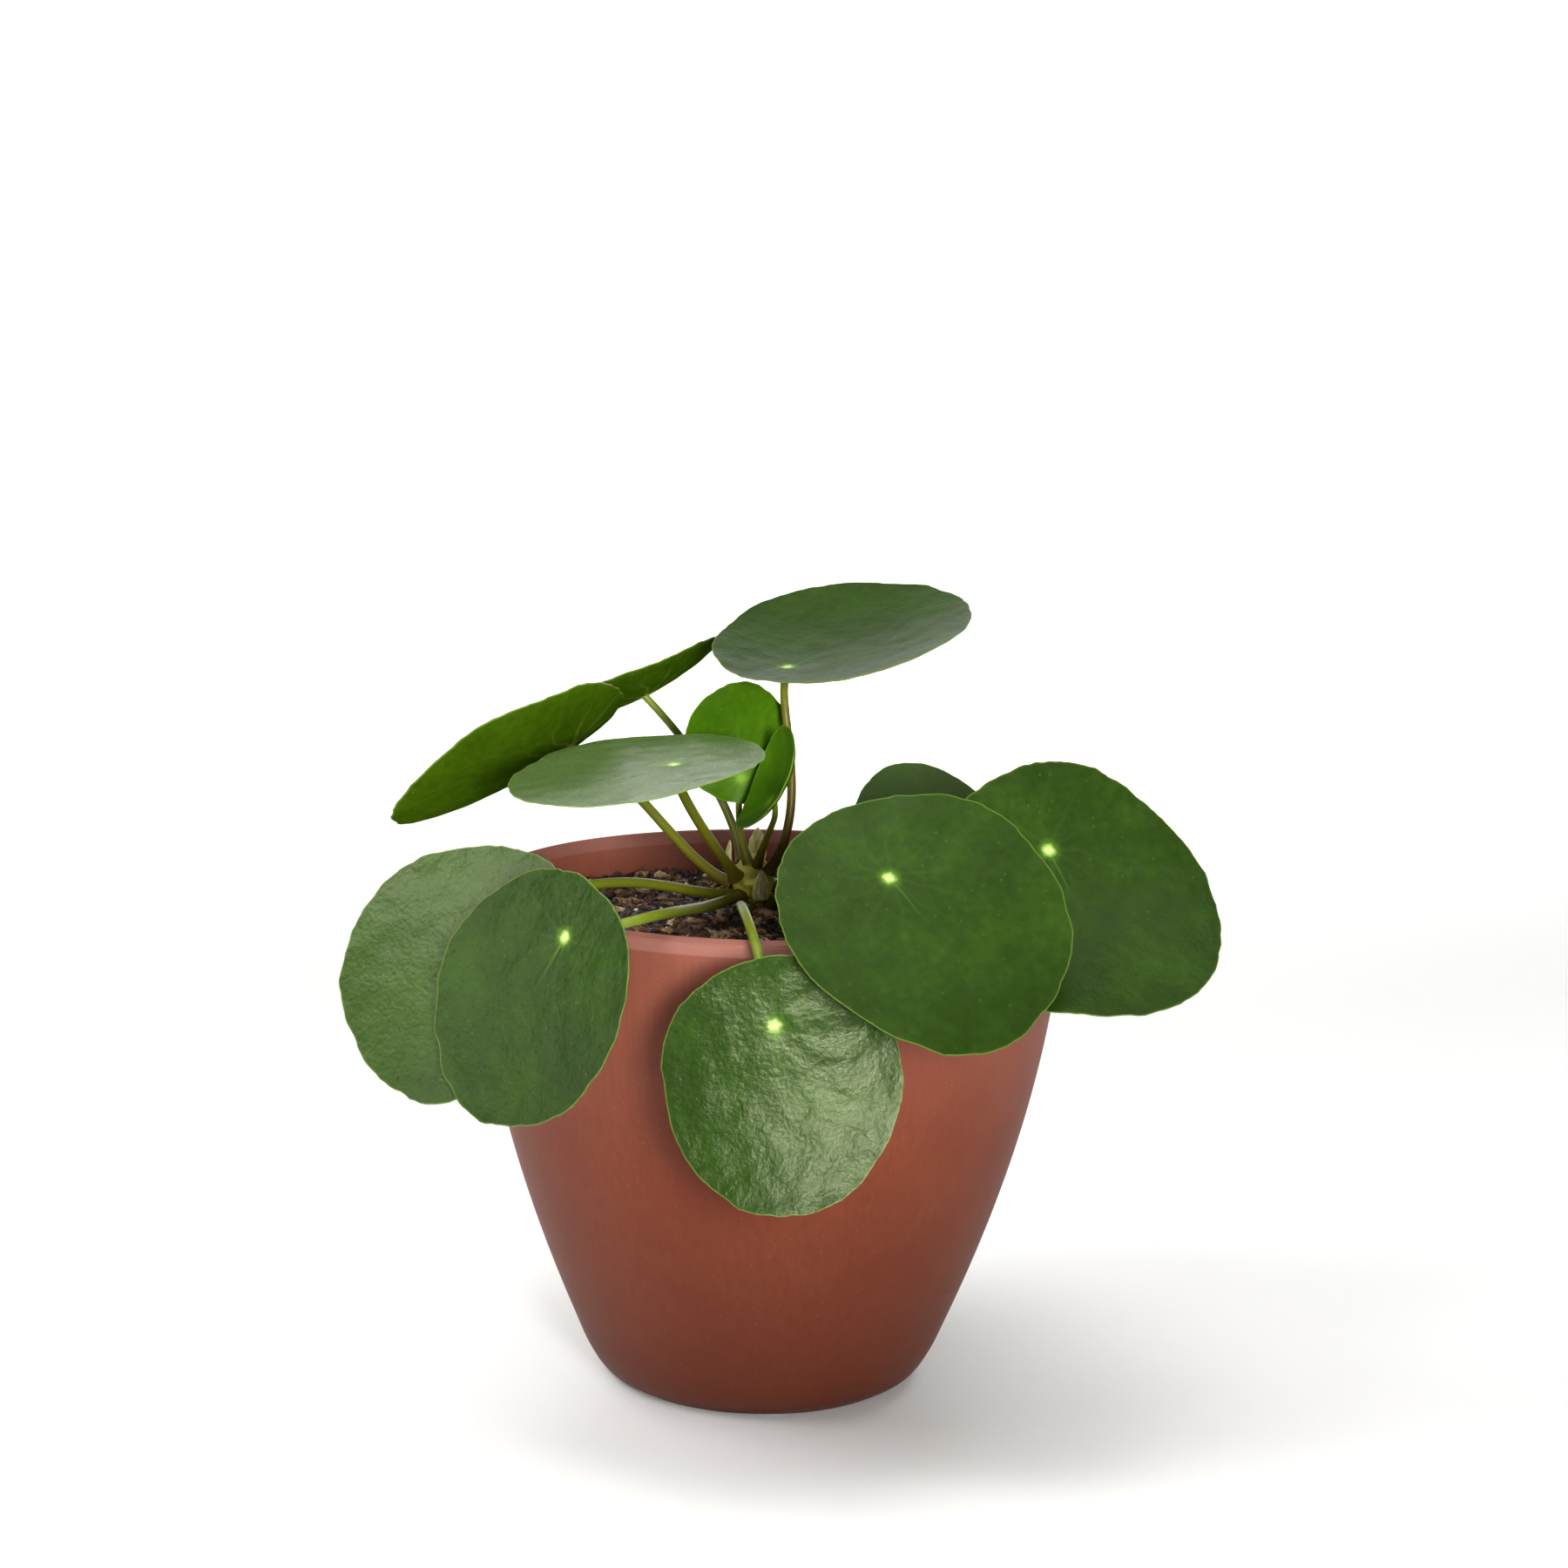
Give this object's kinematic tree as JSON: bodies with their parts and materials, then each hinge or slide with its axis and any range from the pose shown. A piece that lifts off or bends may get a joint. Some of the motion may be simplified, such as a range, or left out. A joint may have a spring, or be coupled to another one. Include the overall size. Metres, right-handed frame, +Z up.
{
  "type": "potted plant",
  "caption": "Chinese money plant with round leaves on long stalks, growing from a short woody stem in a tapered terracotta-coloured pot of potting mix.",
  "frame": {"origin": "centre of the pot's flat underside", "axes": "+Z up along the pot's axis, -Y towards the side that the front leaf hangs on"},
  "size_m": [0.1893, 0.1629, 0.1777],
  "materials": {
    "pot_plastic": "matte, faintly streaked",
    "potting_mix": "rough",
    "woody_stem": "satin",
    "papery_scale": "matte",
    "leaf_stalk": "satin",
    "young_leaf": "satin",
    "shaded_leaf": "satin",
    "mature_leaf": "satin, finely puckered"
  },
  "bodies": {
    "root": {"blade_back_left": "mature_leaf", "blade_folded_young": "young_leaf", "blade_front": "mature_leaf", "blade_front_right": "mature_leaf", "blade_left_high": "mature_leaf", "blade_left_inner": "mature_leaf", "blade_left_level": "mature_leaf", "blade_left_outer": "mature_leaf", "blade_right_back": "shaded_leaf", "blade_right_outer": "shaded_leaf", "blade_top": "mature_leaf", "blade_young": "young_leaf", "pot": "pot_plastic", "potting_mix": "potting_mix", "stalk_back_left": "leaf_stalk", "stalk_folded_young": "leaf_stalk", "stalk_front": "leaf_stalk", "stalk_front_right": "leaf_stalk", "stalk_left_high": "leaf_stalk", "stalk_left_inner": "leaf_stalk", "stalk_left_level": "leaf_stalk", "stalk_left_outer": "leaf_stalk", "stalk_right_back": "leaf_stalk", "stalk_right_outer": "leaf_stalk", "stalk_top": "leaf_stalk", "stalk_young": "leaf_stalk", "stem": "woody_stem", "stem_scale_back": "papery_scale", "stem_scale_front": "papery_scale", "stem_scale_left": "papery_scale"}
  },
  "joints": []
}
